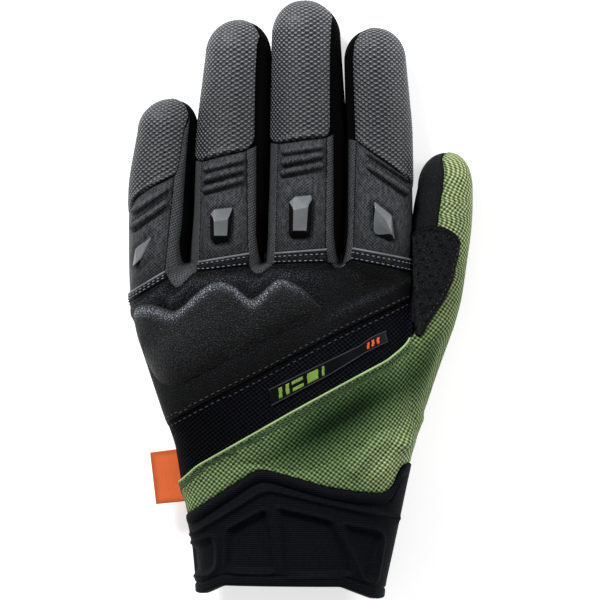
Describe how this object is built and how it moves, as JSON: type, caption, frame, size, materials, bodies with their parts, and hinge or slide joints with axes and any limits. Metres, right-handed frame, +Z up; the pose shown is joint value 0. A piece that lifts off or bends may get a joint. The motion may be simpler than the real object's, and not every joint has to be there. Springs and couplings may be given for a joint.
{
  "type": "mountain bike glove",
  "caption": "Left-hand full-finger mountain bike glove lying palm down, with green back, padded knuckle guard, moulded finger studs and ribbed cuff.",
  "frame": {"origin": "centre of the footprint, on the surface that the glove lies on", "axes": "+Y along the hand to the fingertips, +X to the thumb side, +Z up out of the back of the hand"},
  "size_m": [0.1201, 0.2089, 0.0349],
  "materials": {
    "mesh_fabric": "black pebbled mesh knit",
    "padded_fabric": "black woven cloth over padding",
    "stretch_fabric": "black stretch cloth",
    "leather": "dark synthetic leather, low sheen",
    "suede": "dark synthetic suede",
    "stud": "moulded grey, satin",
    "green_fabric": "green slub weave",
    "neoprene": "black ribbed neoprene with embossed frames",
    "label": "glossy black film with plain coloured bars",
    "tag": "orange woven ribbon"
  },
  "bodies": {
    "root": {"palm": "suede", "little_finger_front": "suede", "ring_finger_front": "suede", "middle_finger_front": "suede", "index_finger_front": "suede", "thumb_front": "suede", "thumb_patch": "leather", "knuckle_leather": "leather", "mesh_band": "mesh_fabric", "green_panel": "green_fabric", "cuff": "neoprene", "little_knuckle_panel": "padded_fabric", "little_finger_mesh": "mesh_fabric", "little_seam_strip": "leather", "ring_knuckle_panel": "padded_fabric", "ring_finger_mesh": "mesh_fabric", "ring_seam_strip": "leather", "middle_knuckle_panel": "padded_fabric", "middle_finger_mesh": "mesh_fabric", "middle_seam_strip": "leather", "index_knuckle_panel": "padded_fabric", "index_finger_mesh": "mesh_fabric", "index_seam_strip": "leather", "little_stud": "stud", "ring_stud": "stud", "middle_stud": "stud", "index_stud": "stud", "fourchette_little_ring": "stretch_fabric", "fourchette_ring_middle": "stretch_fabric", "fourchette_middle_index": "stretch_fabric", "knuckle_guard": "leather", "band_label": "label", "side_tag": "tag"}
  },
  "joints": []
}
